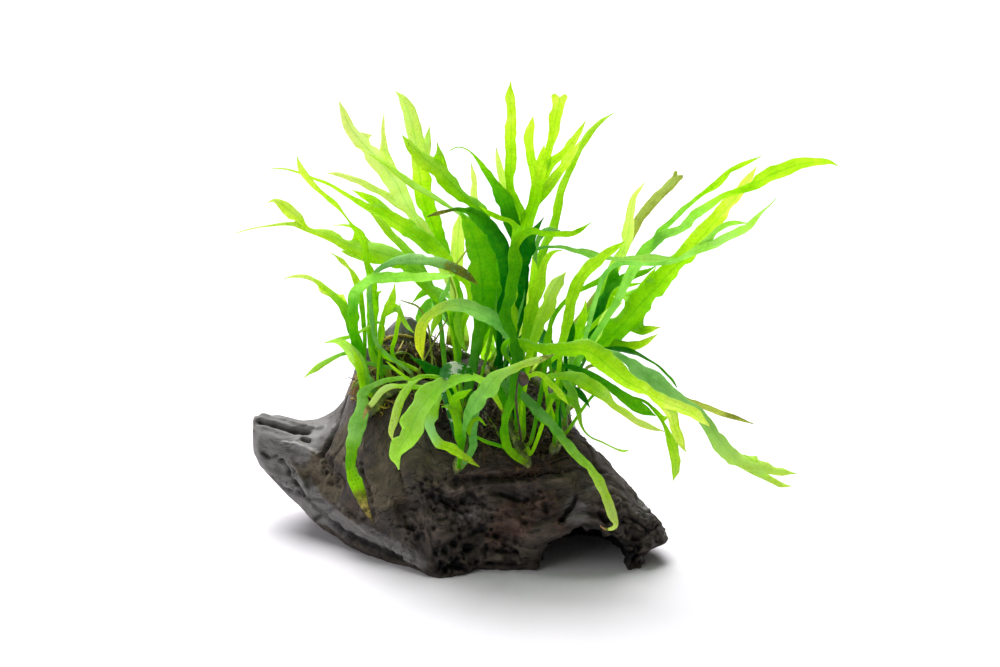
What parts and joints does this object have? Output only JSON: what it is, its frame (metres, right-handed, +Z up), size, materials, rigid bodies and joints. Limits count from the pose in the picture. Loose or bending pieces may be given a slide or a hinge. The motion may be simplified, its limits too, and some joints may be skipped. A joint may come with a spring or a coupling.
{
  "type": "java fern on driftwood",
  "caption": "Java fern with forked narrow leaves growing from creeping stems on a weathered lump of driftwood that rests on its flat underside.",
  "frame": {"origin": "on the flat cut under the driftwood, below the middle of the fern", "axes": "+Z up, +X to the driftwood's right end and along the greatest width, +Y to its back"},
  "size_m": [0.2359, 0.141, 0.1862],
  "materials": {
    "frond_lime": "satin",
    "frond_mid": "satin",
    "frond_deep": "satin",
    "frond_pale": "satin",
    "frond_teal": "satin",
    "frond_olive": "satin",
    "wood": "matte",
    "rhizome": "matte",
    "moss": "matte"
  },
  "bodies": {
    "root": {"driftwood": "wood", "frond_arch_left_dark": "frond_deep", "frond_back_left_broad": "frond_pale", "frond_back_small_pale": "frond_pale", "frond_back_tall_left": "frond_lime", "frond_big_front_droop": "frond_lime", "frond_big_lime": "frond_lime", "frond_broad_mid": "frond_mid", "frond_centre_pale": "frond_lime", "frond_centre_trident": "frond_deep", "frond_centre_v": "frond_mid", "frond_dark_centre_left": "frond_deep", "frond_far_left": "frond_lime", "frond_front_arch_teal": "frond_teal", "frond_front_fold": "frond_mid", "frond_front_small": "frond_mid", "frond_front_under_fold": "frond_lime", "frond_hanging_on_wood": "frond_mid", "frond_left_arc": "frond_mid", "frond_left_droop": "frond_mid", "frond_left_edge_on": "frond_mid", "frond_left_fold": "frond_pale", "frond_left_fork": "frond_mid", "frond_left_grey_arch": "frond_teal", "frond_left_leaning": "frond_mid", "frond_left_light_arch": "frond_lime", "frond_left_long": "frond_lime", "frond_left_small_twist": "frond_mid", "frond_left_strip": "frond_mid", "frond_left_whip": "frond_lime", "frond_long_front_drape": "frond_mid", "frond_rear_centre": "frond_lime", "frond_rear_left": "frond_mid", "frond_rear_reach": "frond_mid", "frond_rear_right": "frond_deep", "frond_right_arch_big": "frond_lime", "frond_right_brown_up": "frond_olive", "frond_right_dark_under": "frond_deep", "frond_right_deep": "frond_deep", "frond_right_edge_on": "frond_deep", "frond_right_hanging": "frond_mid", "frond_right_long": "frond_teal", "frond_right_long_fork": "frond_lime", "frond_right_lower": "frond_mid", "frond_right_olive_thin": "frond_olive", "frond_right_pale_up": "frond_pale", "frond_right_second": "frond_lime", "frond_right_thread": "frond_lime", "frond_right_whip": "frond_lime", "frond_spotted_droop": "frond_lime", "frond_tall_fork": "frond_lime", "frond_teal_reach": "frond_teal", "frond_thin_stem": "frond_lime", "frond_yellow_droop": "frond_lime", "moss_mat": "moss", "rhizome_back": "rhizome", "rhizome_centre": "rhizome", "rhizome_left": "rhizome", "rhizome_right": "rhizome"}
  },
  "joints": []
}
